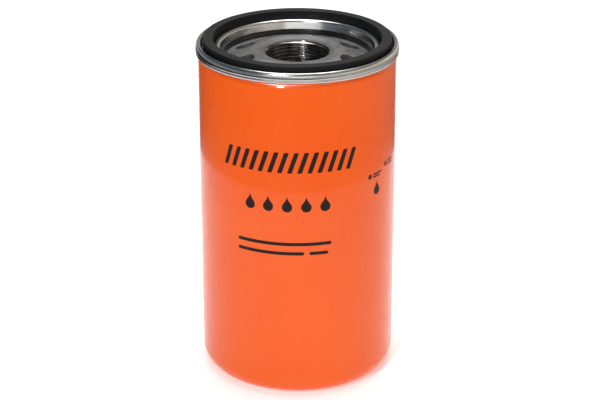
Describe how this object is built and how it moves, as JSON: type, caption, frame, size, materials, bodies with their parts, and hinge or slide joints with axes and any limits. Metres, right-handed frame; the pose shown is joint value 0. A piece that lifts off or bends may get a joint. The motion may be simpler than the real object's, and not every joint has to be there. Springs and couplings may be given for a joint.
{
  "type": "spin-on oil filter",
  "caption": "Tall spin-on engine oil filter can with seamed lid, sealing gasket, ported thread plate, drainback valve, pleated element and bypass valve.",
  "frame": {"origin": "middle of the flat standing ring at the closed end of the can", "axes": "+Z along the can's axis towards the threaded end; +X and +Y across it, with the eight inlet ports set half a step either side of both"},
  "size_m": [0.118, 0.118, 0.2047],
  "materials": {
    "orange_paint": "glossy orange enamel on drawn steel sheet",
    "tinplate": "bright tin-coated steel sheet",
    "seam_sealant": "matt sealing compound",
    "gasket_rubber": "moulded black nitrile rubber, faintly shiny",
    "phosphated_steel": "matt grey phosphated pressed steel",
    "valve_rubber": "moulded dark nitrile rubber",
    "potting": "cured amber adhesive",
    "filter_paper": "resin-treated cellulose filter paper",
    "bare_steel": "plain rolled steel, lightly oiled",
    "spring_steel": "dark oil-tempered spring wire"
  },
  "bodies": {
    "canister": {"can_shell": "orange_paint", "retainer_lid": "tinplate", "seam_compound": "seam_sealant", "sealing_gasket": "gasket_rubber", "plate_seal_ring": "gasket_rubber", "thread_plate": "phosphated_steel", "support_spring": "spring_steel", "spring_seat": "tinplate"},
    "drainback_diaphragm": {"drainback_valve": "valve_rubber"},
    "element": {"upper_end_cap": "tinplate", "upper_potting": "potting", "pleated_media": "filter_paper", "media_side_clip": "bare_steel", "centre_tube": "bare_steel", "lower_potting": "potting", "lower_end_cap": "tinplate", "bypass_body": "bare_steel", "bypass_cage": "bare_steel", "bypass_spring": "spring_steel"},
    "bypass_valve": {"bypass_poppet": "bare_steel", "bypass_seal": "valve_rubber"}
  },
  "joints": [
    {"name": "drainback_lip_lift", "type": "slide", "parent": "canister", "child": "drainback_diaphragm", "axis": [0, 0, -1], "range_m": [0, 0.0015], "stiffness_N_per_m": 600, "springref_m": -0.002, "deforming": ["drainback_valve"]},
    {"name": "element_float", "type": "slide", "parent": "canister", "child": "element", "axis": [0, 0, -1], "range_m": [0, 0.003], "stiffness_N_per_m": 8000, "springref_m": -0.005, "deforming": ["support_spring"]},
    {"name": "bypass_lift", "type": "slide", "parent": "element", "child": "bypass_valve", "axis": [0, 0, 1], "range_m": [0, 0.004], "stiffness_N_per_m": 3000, "springref_m": -0.0105, "deforming": ["bypass_spring"]}
  ]
}
